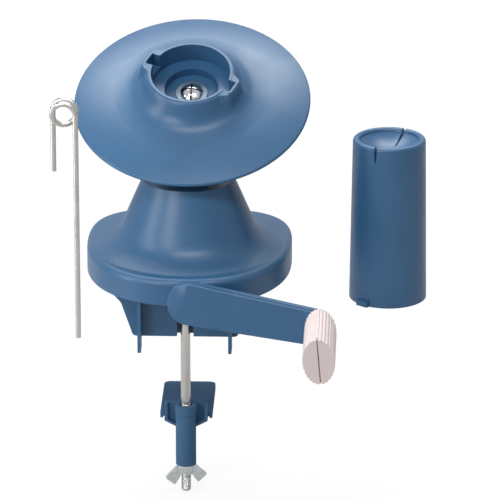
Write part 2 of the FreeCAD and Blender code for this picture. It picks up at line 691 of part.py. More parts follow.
def build_clamp_jaw():
    plate = new_body("jaw_plate_body")
    half = "jaw_width / 2"
    pad(plate, [
        ("-" + half, "-jaw_front"),
        (half, "-jaw_front"),
        (half, "jaw_back - jaw_round"),
        (half + " - jaw_round", "jaw_back", "jaw_round"),
        ("-%s + jaw_round" % half, "jaw_back"),
        ("-" + half, "jaw_back - jaw_round", "jaw_round"),
    ], "jaw_plate", offset="-jaw_drop - jaw_plate")
    lips = [box("jaw_lip%d" % side, "lip_thick", "jaw_front + jaw_back - jaw_round", "lip_drop",
                "%d * (jaw_width / 2 - lip_thick / 2) - lip_thick / 2" % side, "-jaw_front",
                "-jaw_drop - lip_drop") for side in (-1, 1)]
    tube = place(turned("jaw_tube", [
        ("tube_dia / 2 + tube_step", "0"),
        ("0", "0"),
        ("0", "-tube_length"),
        ("tube_dia / 2", "-tube_length"),
        ("tube_dia / 2", "-tube_ring - tube_step"),
        ("tube_dia / 2 + tube_step", "-tube_ring"),
    ]), y="-rod_place", z="-tube_top")
    web = box("jaw_web", "tube_dia * 0.7", "rod_place - jaw_front + 12", "18",
              "-tube_dia * 0.35", "-rod_place", "-jaw_drop - 18")
    shield = padded("jaw_shield", [
        ("-shield_width / 2", "-shield_bottom"),
        ("-shield_width / 2 + 7.5", "-shield_bottom - shield_point"),
        ("shield_width / 2 - 7.5", "-shield_bottom - shield_point"),
        ("shield_width / 2", "-shield_bottom"),
        ("shield_width / 2", "-shield_top - 1.5"),
        ("shield_width / 2 - 1.5", "-shield_top", "1.5"),
        ("-shield_width / 2 + 1.5", "-shield_top"),
        ("-shield_width / 2", "-shield_top - 1.5", "1.5"),
    ], "shield_reach", "XZ_Plane", "jaw_front - 2")
    pocket = padded("jaw_pocket", [
        ("-shield_width / 2 + lip_thick", "-shield_bottom + 0.6"),
        ("-shield_width / 2 + 8.2", "-shield_bottom - shield_point + 1.4"),
        ("shield_width / 2 - 8.2", "-shield_bottom - shield_point + 1.4"),
        ("shield_width / 2 - lip_thick", "-shield_bottom + 0.6"),
        ("shield_width / 2 - lip_thick", "-shield_top + 1"),
        ("-shield_width / 2 + lip_thick", "-shield_top + 1"),
    ], "shield_reach", "XZ_Plane", "jaw_front")
    gusset = padded("jaw_gusset", [
        ("-rod_place + 3", "-shield_bottom - 14"),
        ("-jaw_front + 12", "-jaw_drop - jaw_plate"),
        ("-rod_place + 3", "-jaw_drop - jaw_plate"),
    ], "2.2", "YZ_Plane", "-1.1")
    bore = cylinder("jaw_bore", "tube_bore / 2", "tube_length + 2", y="-rod_place", z="-tube_top - tube_length - 1")
    hollow_shield = cut("jaw_shield_cut", shield, pocket)
    whole = fuse("jaw_whole", plate, hollow_shield, tube, web, gusset, *lips)
    piece("clamp_jaw", cut("jaw_cut", whole, bore))


def build_wing_nut():
    top = "-tube_top - tube_length - fit"
    hub = turned("nut_hub_body", [
        ("nut_dia / 2", "0"),
        ("0", "0"),
        ("0", "-nut_height"),
        ("nut_hub / 2 - 0.6", "-nut_height"),
        ("nut_hub / 2", "-nut_height + 0.6"),
        ("nut_dia / 2", "-nut_flange"),
    ])
    wing = padded("nut_wing_body", [
        ("nut_hub / 2 - 1.5", "-nut_flange + 0.4"),
        ("nut_hub / 2 - 1.5", "-nut_height + 0.3"),
        ("wing_span / 2 - 6.43", "-wing_drop + 0.96"),
        ("wing_span / 2 - 4.93", "-wing_drop + 0.75", "1"),
        ("wing_span / 2 - 0.83", "-wing_drop + 4.29"),
        ("wing_span / 2 - 0.78", "-wing_drop + 5.76", "1.1"),
        ("nut_hub / 2 + 1.8", "-nut_flange + 0.4"),
    ], "wing_thick", "XZ_Plane", "-wing_thick / 2")
    other = WINDER.addObject("Part::Mirroring", "nut_other_wing")
    other.Source = wing
    other.Normal = FreeCAD.Vector(1, 0, 0)
    whole = fuse("nut_whole", hub, wing, other)
    bore = cylinder("nut_bore", "rod_dia / 2 + fit", "40", z="-30")
    nut = cut("nut_cut", whole, bore)
    place(nut, y="-rod_place", z=top)
    nut.Placement.Rotation = FreeCAD.Rotation(FreeCAD.Vector(0, 0, 1), VALUE["nut_turn"])
    piece("wing_nut", nut)


# Crank: arm, shaft with its crown gear, and the knob on its pin.

def crank_frame(angle_name="crank_angle"):
    """The frame of the crank: its Z runs to the rear, its X along the arm."""
    turn = FreeCAD.Rotation(FreeCAD.Vector(0, 1, 0), -VALUE[angle_name])
    return FreeCAD.Placement(FreeCAD.Vector(0, 0, VALUE["crank_height"]), turn)


def arm_groove(side):
    """The groove that runs along one long edge of the arm and fades out at its hub."""
    ends = [("arm_shift + 6", "arm_hub - arm_groove_depth"),
            ("crank_radius - 3", "arm_tip - arm_groove_depth"),
            ("crank_radius - 3", "arm_tip + 1"), ("arm_shift", "arm_hub + 1")]
    if side == "-":
        ends = [(x, "-(%s)" % y) for x, y in reversed(ends)]
    return padded("arm_groove_%s" % ("low" if side == "-" else "high"), ends, "arm_groove", "XZ_Plane",
                  "arm_back + arm_thick - arm_lip - arm_groove")


def build_crank_arm():
    arm = new_body("arm_body")
    lean = "(arm_hub - arm_tip) / crank_radius"
    tip = "crank_radius + arm_past - arm_tip"
    front = pad(arm, [
        ("arm_shift + arm_hub * %s" % lean, "-arm_hub", "arm_hub * 1.003"),
        (tip + " + arm_tip * %s" % lean, "-arm_tip"),
        (tip + " + arm_tip", "0", "arm_tip * 1.003"),
        (tip + " + arm_tip * %s" % lean, "arm_tip", "arm_tip * 1.003"),
        ("arm_shift + arm_hub * %s" % lean, "arm_hub"),
        ("arm_shift - arm_hub", "0", "arm_hub * 1.003"),
    ], "arm_thick", "XZ_Plane", "arm_back")
    round_edges(arm, front, "arm_round", lambda edge: edge.CenterOfMass.x < 0
                and edge.CenterOfMass.y < -number("arm_back + arm_thick - 0.1"))
    channel = padded("arm_channel", [
        ("crank_shaft_dia / 2 + 5", "-arm_hub + arm_skin + 0.3"),
        ("crank_radius - 8", "-arm_tip + arm_skin"),
        ("crank_radius - 8", "arm_tip - arm_skin"),
        ("crank_shaft_dia / 2 + 5", "arm_hub - arm_skin - 0.3"),
    ], "arm_thick - arm_skin", "XZ_Plane", "arm_back")
    shaft_hole = cylinder("arm_shaft_hole", "crank_shaft_dia / 2 + fit", "arm_thick - arm_skin",
                          y="-arm_back - arm_thick + arm_skin", along="y")
    pin_hole = cylinder("arm_pin_hole", "knob_pin_dia / 2 + fit", "arm_thick + 2",
                        x="crank_radius", y="-arm_back - arm_thick - 1", along="y")
    pin_seat = cylinder("arm_pin_seat", "pin_head_dia / 2 + fit", "arm_thick", x="crank_radius",
                        y="-arm_back - arm_thick + pin_seat_front", along="y")
    arm = cut("arm_cut", arm, channel, shaft_hole, pin_hole, pin_seat, arm_groove(""), arm_groove("-"))
    arm.Placement = crank_frame()
    piece("crank_arm", arm)


def build_crank_shaft():
    piece("crank_shaft", cylinder("crank_shaft_body", "crank_shaft_dia / 2", "arm_back + shaft_front - shaft_rear",
                                  y="-arm_back - shaft_front", z="crank_height", along="y"))
    for label, front in (("front_crank_bush", "-arm_back + gap"), ("rear_crank_bush",
                                                                    "-tube_back - crank_bush_length")):
        ring = cylinder(label + "_ring", "crank_bush_dia / 2", "crank_bush_length", y=front, z="crank_height",
                        along="y")
        hole = cylinder(label + "_hole", "crank_shaft_dia / 2 + fit", "crank_bush_length + 2",
                        y="%s - 1" % front, z="crank_height", along="y")
        piece(label, cut(label + "_cut", ring, hole))


def drive_height():
    """Pitch radius of the drive pinion, which is also the crown gear's distance from the apex."""
    return VALUE["crown_radius"] * VALUE["pinion_teeth"] / VALUE["crown_teeth"]


def build_crown_gear():
    height = drive_height()
    radius = VALUE["crown_radius"]
    module = 2 * radius / VALUE["crown_teeth"]
    plate_front = height + TOOTH["root"] * module * (1 + VALUE["drive_face"] / 2 / radius) + height / 6
    plate_back = plate_front + VALUE["crown_plate"]
    teeth = crown_teeth(VALUE["crown_teeth"], radius, height, VALUE["drive_face"], 90 + 180 / VALUE["crown_teeth"],
                        plate_front + 0.5)
    outer = radius + VALUE["drive_face"] / 2
    down = FreeCAD.Vector(0, 0, -1)
    plate = Part.makeCylinder(outer, plate_back - plate_front, FreeCAD.Vector(0, 0, -plate_front), down)
    hub = Part.makeCylinder(VALUE["crown_hub"], VALUE["crown_end"] - plate_front,
                            FreeCAD.Vector(0, 0, -plate_front), down)
    bore = Part.makeCylinder(VALUE["crank_shaft_dia"] / 2 + VALUE["fit"], 40, FreeCAD.Vector(), down)
    windows = []
    for index in range(5):
        spoke = Part.makeCylinder(VALUE["window_radius"], 30, FreeCAD.Vector(VALUE["window_place"], 0, 0), down)
        spoke.rotate(FreeCAD.Vector(), FreeCAD.Vector(0, 0, 1), TURN / 5 * index)
        windows.append(spoke)
    gear = plate.fuse([hub, teeth]).removeSplitter().cut([bore] + windows)
    turn = FreeCAD.Rotation(FreeCAD.Vector(1, 0, 0), -90)
    item = feature("crank_gear_body", gear)
    item.Placement = FreeCAD.Placement(FreeCAD.Vector(0, 0, VALUE["crank_height"]), turn)
    piece("crank_gear", item)
    clip = cut("gear_clip_cut",
               cylinder("gear_clip_ring", "crank_shaft_dia / 2 + 1.8", "clip_thick", y="-crown_end - clip_thick - 0.4",
                        z="crank_height", along="y"),
               cylinder("gear_clip_hole", "crank_shaft_dia / 2 + fit", "clip_thick + 2",
                        y="-crown_end - clip_thick - 1.4", z="crank_height", along="y"))
    piece("gear_clip", clip)


def knob_outline():
    """One closed ring of rounded flutes round the knob's oval section."""
    flutes = VALUE["rib_count"]

    def point(half_steps, inset):
        angle = math.pi * half_steps / flutes
        return FreeCAD.Vector((VALUE["knob_width"] / 2 - inset) * math.cos(angle),
                              (VALUE["knob_height"] / 2 - inset) * math.sin(angle), 0)

    deep = VALUE["rib_depth"]
    arcs = [Part.Arc(point(2 * index - 1, deep), point(2 * index, 0), point(2 * index + 1, deep)).toShape()
            for index in range(flutes)]
    return Part.Wire(arcs)


def build_knob():
    face = Part.Face(knob_outline())
    length = VALUE["knob_length"]
    block = face.extrude(FreeCAD.Vector(0, 0, length))
    slit = Part.makeBox(VALUE["slit_width"], VALUE["knob_height"] + 2, VALUE["slit_depth"] + 1,
                        FreeCAD.Vector(-VALUE["slit_width"] / 2, -1 - VALUE["knob_height"] / 2,
                                       length - VALUE["slit_depth"]))
    bore = Part.makeCylinder(VALUE["knob_pin_dia"] / 2 + VALUE["fit"], length - 6)
    item = feature("knob_body", block.cut([slit, bore]))
    middle = crank_frame().multVec(FreeCAD.Vector(VALUE["crank_radius"], 0, 0))
    start = FreeCAD.Vector(middle.x, -number("arm_back") - VALUE["arm_thick"] - VALUE["gap"], middle.z)
    turn = FreeCAD.Rotation(FreeCAD.Vector(0, 1, 0), VALUE["knob_angle"])
    item.Placement = FreeCAD.Placement(start, turn * FreeCAD.Rotation(FreeCAD.Vector(1, 0, 0), 90))
    piece("knob", item)


def build_knob_pin():
    front = "-arm_back - arm_thick - knob_length + 6.5"
    shank = cylinder("knob_pin_shank", "knob_pin_dia / 2", "knob_length - 6.5 + pin_seat_front + 1",
                     x="crank_radius", y=front, along="y")
    head = cylinder("knob_pin_head", "pin_head_dia / 2", "2", x="crank_radius",
                    y="-arm_back - arm_thick + pin_seat_front", along="y")
    pin = fuse("knob_pin_whole", shank, head)
    pin.Placement = crank_frame()
    piece("knob_pin", pin)


# Rotor: main shaft, drive pinion and the head that carries the tilted axle.

def build_main_shaft():
    piece("main_shaft", cylinder("main_shaft_body", "main_shaft_dia / 2",
                                 "shaft_top - lower_bush_bottom - fit", z="lower_bush_bottom + fit"))
    for label, low, tall in (("lower_main_bush", "lower_bush_bottom", "lower_bush_length"),
                             ("upper_main_bush", "sun_middle + orbit_face / 2 - upper_bush_length",
                              "upper_bush_length")):
        ring = cylinder(label + "_ring", "main_bush_dia / 2", tall, z=low)
        hole = cylinder(label + "_hole", "main_shaft_dia / 2 + fit", "%s + 2" % tall, z="%s - 1" % low)
        piece(label, cut(label + "_cut", ring, hole))


def build_drive_pinion():
    gear = toothed_cone(VALUE["pinion_teeth"], drive_height(), VALUE["crown_radius"], VALUE["drive_face"], -90)
    gear = moved(gear, FreeCAD.Placement(FreeCAD.Vector(), FreeCAD.Rotation(FreeCAD.Vector(1, 0, 0), 180)))
    hub = Part.makeCylinder(5.2, 5, FreeCAD.Vector(0, 0, VALUE["crown_radius"] + VALUE["drive_face"] / 2 - 0.5))
    bore = Part.makeCylinder(VALUE["main_shaft_dia"] / 2 + VALUE["fit"], 60)
    item = feature("drive_pinion_body", gear.fuse(hub).cut(bore))
    item.Placement = FreeCAD.Placement(FreeCAD.Vector(0, 0, VALUE["crank_height"]), FreeCAD.Rotation())
    piece("drive_pinion", item)


def build_rotor_head():
    """A tilted slab from the main shaft to the boss of the tilted axle, cut flat above the sun gear."""
    drop = VALUE["disc_drop"]
    offset = drop * math.tan(math.radians(VALUE["tilt"]))
    slab_top = VALUE["head_top"]
    down = FreeCAD.Vector(0, 0, -1)
    up = FreeCAD.Vector(0, 0, slab_top)
    boss = Part.makeCylinder(VALUE["head_radius"], VALUE["head_thick"], up, down)
    far = Part.makeCylinder(VALUE["head_radius"] - 1.5, 40, FreeCAD.Vector(0, -offset, slab_top), down)
    arm = Part.makeBox(2 * VALUE["head_radius"] - 4, offset, VALUE["head_thick"],
                       FreeCAD.Vector(-VALUE["head_radius"] + 2, -offset, slab_top - VALUE["head_thick"]))
    solid = boss.fuse([far, arm]).removeSplitter()
    solid = moved(solid, tilted(drop))
    shelf = VALUE["sun_middle"] + VALUE["orbit_face"] / 2 + VALUE["gap"]
    keep = Part.makeBox(300, 300, 100, FreeCAD.Vector(-150, -150, shelf))
    shaft_hole = Part.makeCylinder(VALUE["main_shaft_dia"] / 2 + VALUE["fit"], VALUE["shaft_top"] + VALUE["fit"])
    axle_hole = moved(Part.makeCylinder(VALUE["axle_dia"] / 2 + VALUE["fit"], 60, FreeCAD.Vector(0, 0, -30)),
                      tilted(drop))
    piece("rotor_head", feature("rotor_head_body", solid.common(keep).cut([shaft_hole, axle_hole])))


def build_tilted_axle():
    long = "head_thick + well_floor - head_top - 0.5"
    axle = turned("tilted_axle_body", [
        ("axle_dia / 2", "0"),
        ("axle_dia / 2", long),
        ("2.5 + fit", long),
        ("2.5 + fit", long + " - 6"),
        ("0", long + " - 6"),
        ("0", "0"),
    ])
    piece("tilted_axle", on_disc_axis(axle, VALUE["head_top"] - VALUE["head_thick"]))


# Disc: dish with its socket, ring gear, bush, and the washer and screw that hold it.

def disc_pocket(index, wall, low, high):
    """A block for one bayonet notch, or with a wall for the pocket round it."""
    start = VALUE["socket_radius"] - 2 * (1 - min(wall, 1))
    width = VALUE["notch_width"] + 2 * wall
    block = Part.makeBox(VALUE["notch_reach"] + wall - start, width, high - low,
                         FreeCAD.Vector(start, -width / 2, low))
    if wall:
        far = [edge for edge in block.Edges if edge.BoundBox.ZLength > 1 and edge.CenterOfMass.x > start + 1]
        block = block.makeFillet(wall + 0.6, far)
    block.rotate(FreeCAD.Vector(), FreeCAD.Vector(0, 0, 1), VALUE["notch_angle"] + 180 * index)
    return block


def build_disc():
    fillet = "(dome_foot - socket_radius - collar_lip)"
    body = turned("disc_body", [
        ("disc_radius", "0"),
        ("disc_radius - 0.8", "rim_edge", "1.5"),
        ("dome_foot", "dome_height", "150"),
        ("socket_radius + collar_lip", "dome_height + 1.115 * %s" % fillet, "-1.122 * " + fillet),
        ("socket_radius + collar_lip", "collar_height"),
        ("socket_radius", "collar_height"),
        ("socket_radius", "ledge_height"),
        ("well_radius", "ledge_height"),
        ("well_radius", "well_floor"),
        ("axle_dia / 2 + 1.5", "well_floor"),
        ("axle_dia / 2 + 1.5", "head_top + gap"),
        ("dome_foot", "head_top + gap"),
        ("dome_foot + 4", "dome_height - disc_skin - 1.2"),
        ("disc_radius - disc_skin", "0", "-146"),
    ])
    top = VALUE["collar_height"]
    pockets = feature("disc_pockets", Part.makeCompound(
        [disc_pocket(index, VALUE["notch_wall"], VALUE["dome_height"] - 2, top - 0.3) for index in range(2)]))
    notches = feature("disc_notches", Part.makeCompound(
        [disc_pocket(index, 0, VALUE["notch_floor"], top + 2) for index in range(2)]))
    disc = cut("disc_cut", fuse("disc_whole", body, pockets), notches)
    piece("disc", on_disc_axis(disc))
    WINDER.recompute()
    bush = cut("disc_bush_cut",
               cylinder("disc_bush_ring", "axle_dia / 2 + 1.5 - fit", "well_floor - head_top - gap", z="head_top + gap"),
               cylinder("disc_bush_hole", "axle_dia / 2 + fit", "20", z="0"))
    piece("disc_bush", on_disc_axis(bush))
    return disc


def build_orbit_gears(disc):
    """The fixed sun gear and, under the disc, the ring gear that rolls round it."""
    angle = sun_angle()
    height = VALUE["apex_height"] - VALUE["sun_middle"]
    slant = height / math.cos(angle)
    crossing = FreeCAD.Vector(0, 0, VALUE["apex_height"])
    spin = FreeCAD.Rotation(FreeCAD.Vector(0, 0, 1), VALUE["rotor_rest"])
    sun = toothed_cone(VALUE["sun_teeth"], slant * math.sin(angle), height, VALUE["orbit_face"], -90)
    sun = moved(sun, FreeCAD.Placement(crossing, spin))
    bore = Part.makeCylinder(VALUE["main_bush_dia"] / 2 + VALUE["fit"], 200)
    piece("sun_gear", feature("sun_gear_body", sun.cut(bore)))
    full = angle + math.radians(VALUE["tilt"])
    radius = slant * math.sin(full)
    depth = slant * math.cos(full)
    hole = toothed_cone(VALUE["ring_teeth"], radius, depth, VALUE["orbit_face"] + 1.5,
                        -90 + 180 / VALUE["ring_teeth"], True)
    module = 2 * radius / VALUE["ring_teeth"]
    outer = radius + TOOTH["root"] * module + VALUE["ring_rim"]
    low = depth + VALUE["orbit_face"] / 2 * math.cos(full)
    top = depth - VALUE["orbit_face"] / 2 * math.cos(full)
    rim = Part.makeCylinder(outer, low - top, FreeCAD.Vector(0, 0, -low))
    ring = rim.cut(hole)
    skirt = Part.makeCylinder(outer, top - VALUE["disc_drop"] + 4, FreeCAD.Vector(0, 0, -top))
    skirt = skirt.cut(Part.makeCylinder(outer - VALUE["ring_rim"], 40, FreeCAD.Vector(0, 0, -low)))
    dome = moved(disc.Shape, FreeCAD.Placement(FreeCAD.Vector(0, 0, -VALUE["disc_drop"]), FreeCAD.Rotation()))
    item = feature("disc_gear_body", ring.fuse(skirt.cut(dome)).removeSplitter())
    item.Placement = tilted(0)
    piece("disc_gear", item)


def build_hub_fasteners():
    washer = cut("hub_washer_cut", cylinder("hub_washer_ring", "washer_dia / 2", "washer_thick"),
                 cylinder("hub_washer_hole", "2.5 + fit", "10", z="-2"))
    piece("hub_washer", on_disc_axis(washer, number("well_floor + gap")))
    head = turned("hub_screw_head", [
        ("0", "0"),
        ("screw_dia / 2", "0"),
        ("screw_dia / 2", "0.7"),
        ("0", "3.4", "screw_dia * 0.75"),
    ])
    shank = cylinder("hub_screw_shank", "2.5", "washer_thick + gap + 2", z="-washer_thick - gap - 2 + 0.5")
    slots = [box("hub_screw_slot%d" % index, size_x, size_y, "4", "-(%s) / 2" % size_x, "-(%s) / 2" % size_y, "1.9")
             for index, (size_x, size_y) in enumerate((("6.4", "1.2"), ("1.2", "6.4")))]
    screw = cut("hub_screw_cut", fuse("hub_screw_whole", head, shank), *slots)
    piece("hub_screw", on_disc_axis(screw, number("well_floor + gap + washer_thick + fit")))


# Spindle and yarn guide, which stand apart.

def build_spindle():
    slope = "(spindle_low - spindle_high) / spindle_height"
    dip = "(bowl_depth - lip_round)"
    bowl = "((spindle_high - 2 * lip_round)^2 + %s^2) / (2 * %s)" % (dip, dip)
    body = turned("spindle_body", [
        ("spindle_low", "0"),
        ("spindle_high + (%s) * lip_round" % slope, "spindle_height - lip_round"),
        ("spindle_high - lip_round", "spindle_height", "lip_round"),
        ("spindle_high - 2 * lip_round", "spindle_height - lip_round", "lip_round"),
        ("0", "spindle_height - bowl_depth", "-1 * " + bowl),
        ("0", "spindle_height - bowl_depth - spindle_skin"),
        ("spindle_high / 2", "spindle_height - bowl_depth - spindle_skin + 1"),
        ("spindle_high - spindle_skin", "spindle_height - 2 * lip_round - spindle_skin - 4"),
        ("spindle_low - spindle_skin", "0"),
    ])
    lugs = []
    slits = []
    for index in range(2):
        lug = Part.makeBox(VALUE["spindle_skin"] + VALUE["lug_reach"], VALUE["lug_width"], VALUE["lug_height"],
                           FreeCAD.Vector(VALUE["spindle_low"] - VALUE["spindle_skin"] + 0.6,
                                          -VALUE["lug_width"] / 2, 0))
        lug.rotate(FreeCAD.Vector(), FreeCAD.Vector(0, 0, 1), VALUE["lug_angle"] + 180 * index)
        lugs.append(lug)
        half = VALUE["slit_mouth"] / 2
        top = VALUE["spindle_height"] + 1
        low = VALUE["spindle_height"] - VALUE["slit_drop"]
        wedge = Part.Face(Part.makePolygon([FreeCAD.Vector(8, -half, top), FreeCAD.Vector(8, half, top),
                                            FreeCAD.Vector(8, 0.25, low), FreeCAD.Vector(8, -0.25, low),
                                            FreeCAD.Vector(8, -half, top)]))
        slit = wedge.extrude(FreeCAD.Vector(30, 0, 0))
        slit.rotate(FreeCAD.Vector(), FreeCAD.Vector(0, 0, 1), VALUE["slit_angle"] + VALUE["slit_apart"] * index)
        slits.append(slit)
    with_lugs = fuse("spindle_with_lugs", body, feature("spindle_lugs", Part.makeCompound(lugs)))
    spindle = cut("spindle_cut", with_lugs, feature("spindle_slits", slits[0].fuse(slits[1])))
    piece("spindle", place(spindle, "spindle_place_x", "spindle_place_y", 0))


def tangent_arc(start, corner, end):
    """The arc from start to end that touches both legs of an equal-sided corner."""
    middle = (start + end) / 2
    half = (end - start).Length / 2
    rise = (corner - middle).Length
    swing = math.atan2(rise, half)
    through = middle + (corner - middle).normalize() * half * math.tan(swing / 2)
    return Part.Arc(start, through, end).toShape()


def biarc(start, start_way, end, end_way):
    """Two arcs that join smoothly between two points with given directions."""
    span = end - start
    ways = start_way + end_way
    bend = 2 * (1 - start_way.dot(end_way))
    reach = (-span.dot(ways) + math.sqrt(span.dot(ways) ** 2 + bend * span.dot(span))) / bend
    first = start + start_way * reach
    second = end - end_way * reach
    join = (first + second) / 2
    return [tangent_arc(start, first, join), tangent_arc(join, second, end)]


def eye_point(turn):
    """A point of the guide's eye and its direction, after a number of turns."""
    radius = VALUE["eye_radius"]
    share = turn / 1.5
    ease = share * share * (3 - 2 * share)
    rate = 6 * share * (1 - share) / 1.5
    angle = 2 * math.pi * turn
    point = FreeCAD.Vector(radius * math.cos(angle) - radius, VALUE["eye_pitch"] * 1.5 * ease,
                           radius * math.sin(angle))
    way = FreeCAD.Vector(-2 * math.pi * radius * math.sin(angle), VALUE["eye_pitch"] * 1.5 * rate,
                         2 * math.pi * radius * math.cos(angle))
    return point, way.normalize()


def build_yarn_guide():
    """A straight leg, an eye of one and a half turns and a short tail, bent from one wire."""
    leg = VALUE["guide_leg"]
    edges = [Part.makeLine(FreeCAD.Vector(0, 0, -leg), FreeCAD.Vector())]
    steps = 6
    for index in range(steps):
        start, start_way = eye_point(1.5 * index / steps)
        end, end_way = eye_point(1.5 * (index + 1) / steps)
        edges += biarc(start, start_way, end, end_way)
    last = eye_point(1.5)[0]
    edges.append(Part.makeLine(last, last + FreeCAD.Vector(0, 0, -VALUE["guide_tail"])))
    path = Part.Wire(edges)
    section = Part.Wire(Part.makeCircle(VALUE["wire_dia"] / 2, FreeCAD.Vector(0, 0, -leg), FreeCAD.Vector(0, 0, 1)))
    wire = path.makePipeShell([section], True, False)
    print("guide wire length", round(path.Length, 1), "volume share",
          round(wire.Volume / (path.Length * math.pi * VALUE["wire_dia"] ** 2 / 4), 3))
    item = feature("yarn_guide_body", wire)
    foot = VALUE["guide_foot"] + leg
    item.Placement = FreeCAD.Placement(FreeCAD.Vector(VALUE["guide_place_x"], VALUE["guide_place_y"], foot),
                                       FreeCAD.Rotation())
    piece("yarn_guide", item)


def check_and_export():
    """Stops on any failed object, then writes each piece to its own file."""
    WINDER.recompute()
    failed = [item.Name for item in WINDER.Objects if {"Invalid", "Error"} & set(item.State)]
    if failed:
        raise RuntimeError("failed objects: " + ", ".join(failed))
    for item in PIECES:
        if item.Shape.isNull() or not item.Shape.isValid() or not item.Shape.Solids:
            raise RuntimeError("bad shape: " + item.Label)
    os.makedirs("parts", exist_ok=True)
    for item in PIECES:
        item.Shape.exportStep(os.path.join("parts", item.Label + ".step"))
    print("wrote", len(PIECES), "pieces")


def main():
    build_base_housing()
    build_foot_housing()
    build_housing_screws()
    build_clamp_rod()
    build_clamp_jaw()
    build_wing_nut()
    build_crank_arm()
    build_crank_shaft()
    build_crown_gear()
    build_knob()
    build_knob_pin()
    build_main_shaft()
    build_drive_pinion()
    build_rotor_head()
    build_tilted_axle()
    build_orbit_gears(build_disc())
    build_hub_fasteners()
    build_spindle()
    build_yarn_guide()
    check_and_export()


main()
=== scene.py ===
import json
import math
import bpy
from mathutils import Matrix, Vector


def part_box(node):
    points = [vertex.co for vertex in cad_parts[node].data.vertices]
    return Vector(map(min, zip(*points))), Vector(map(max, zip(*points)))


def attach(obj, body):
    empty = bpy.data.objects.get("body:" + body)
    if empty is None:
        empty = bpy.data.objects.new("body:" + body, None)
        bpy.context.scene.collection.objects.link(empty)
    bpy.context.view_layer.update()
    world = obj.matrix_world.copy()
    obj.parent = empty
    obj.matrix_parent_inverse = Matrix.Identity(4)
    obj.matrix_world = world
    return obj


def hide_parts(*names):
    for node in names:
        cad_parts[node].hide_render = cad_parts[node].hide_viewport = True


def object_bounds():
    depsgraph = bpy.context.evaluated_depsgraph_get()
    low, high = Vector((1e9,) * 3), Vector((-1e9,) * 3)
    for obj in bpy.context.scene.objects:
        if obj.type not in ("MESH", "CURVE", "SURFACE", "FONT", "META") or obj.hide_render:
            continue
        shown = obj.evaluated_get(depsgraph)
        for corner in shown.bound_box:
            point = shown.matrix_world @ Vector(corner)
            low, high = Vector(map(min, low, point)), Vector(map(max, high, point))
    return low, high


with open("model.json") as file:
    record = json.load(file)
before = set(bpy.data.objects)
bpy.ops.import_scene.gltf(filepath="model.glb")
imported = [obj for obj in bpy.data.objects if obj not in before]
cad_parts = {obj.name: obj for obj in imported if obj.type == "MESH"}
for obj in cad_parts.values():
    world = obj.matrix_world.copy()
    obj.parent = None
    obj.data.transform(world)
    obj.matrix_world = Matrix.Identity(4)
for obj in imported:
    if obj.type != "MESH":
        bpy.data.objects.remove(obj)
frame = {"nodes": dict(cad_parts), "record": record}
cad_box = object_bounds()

# A yarn ball winder on a table clamp, dressed for its portrait. Lengths are in metres and angles in
# degrees, unless a comment says otherwise.

NODES = frame["nodes"]
SCENE = bpy.context.scene

# Camera: the photograph is a square of 500 pixels, taken from far away with a long lens. The focal length
# is in pixels, the sensor's width in millimetres, and the frame's origin has its own place in the picture.
PHOTO_SIDE = 500
FOCAL_PIXELS = 4400.0
CAMERA_ELEVATION = 20.2
CAMERA_YAW = 2.0
CAMERA_DEPTH = 2.65
ORIGIN_PIXEL = (189.0, 308.4)
SENSOR_WIDTH = 36.0
CAMERA_REACH = 30

# Colours, as linear light.
BLUE_DEEP = (0.030, 0.107, 0.226, 1)
BLUE_LIGHT = (0.036, 0.119, 0.244, 1)
JAW_DEEP = (0.030, 0.098, 0.200, 1)
JAW_LIGHT = (0.036, 0.108, 0.216, 1)
PINK_DEEP = (0.64, 0.55, 0.54, 1)
PINK_LIGHT = (0.70, 0.61, 0.60, 1)
STEEL = (0.63, 0.615, 0.595, 1)
STEEL_DARK = (0.55, 0.54, 0.52, 1)
ZINC = (0.93, 0.96, 0.96, 1)
ZINC_DARK = (0.80, 0.85, 0.86, 1)
WASHER = (0.22, 0.27, 0.33, 1)
WASHER_DARK = (0.13, 0.17, 0.22, 1)
# Painted shade: near black, standing for the shade inside the hub screw's cross recess.
RECESS_PAINTED_SHADE = (0.015, 0.015, 0.016, 1)
CHROME = (0.90, 0.90, 0.90, 1)
CHROME_DARK = (0.70, 0.71, 0.73, 1)
NYLON = (0.74, 0.72, 0.66, 1)
NYLON_DARK = (0.66, 0.64, 0.58, 1)
BRONZE = (0.50, 0.33, 0.16, 1)
BRONZE_DARK = (0.36, 0.23, 0.11, 1)
FLOOR = (0.86, 0.86, 0.86, 1)
FLOOR_BOUNCE = (0.40, 0.40, 0.40, 1)
WHITE = (1, 1, 1, 1)

# Nodes whose surface differs from the rest of their material slot.
OWN_FINISH = {"hub_washer": "washer", "hub_screw": "screw", "clamp_jaw": "jaw_plastic"}

# Light of the room, in front of the object and behind it, with the directions in Y between which it
# changes. Mirrors and clear things see it at a strength of its own, and the camera sees it as white.
ROOM_FRONT = 0.12
ROOM_REAR = 0.6
ROOM_CHANGE = (-0.4, 0.6)
ROOM_MIRRORED = 0.6

# Floor: its gap below the clamp and its reach, how much of its pale colour mirrors see, and how much of its
# glow the camera sees.
FLOOR_GAP = 0.002
FLOOR_SIDE, FLOOR_NEAR, FLOOR_FAR = 9, -6, 18
FLOOR_MIRRORED = 0.15
FLOOR_GLOW = 0.88
FLOOR_ROUGHNESS = 0.9

# Area lights: name, place, target, width and height, and power in watts.
LIGHTS = (
    ("key_left", (-1.1, -1.76, 0.9), (0, 0, 0.06), (0.6, 1.1), 17),
    ("overhead", (-0.1, 1.1, 2.0), (0, 0, 0.1), (2.0, 1.0), 48),
    ("brow", (0.1, -1.25, 1.9), (0, 0, 0.06), (1.8, 0.4), 21),
    ("strip_left", (-0.62, -0.24, 0.2), (0, 0, 0.05), (0.12, 0.7), 1.9),
)

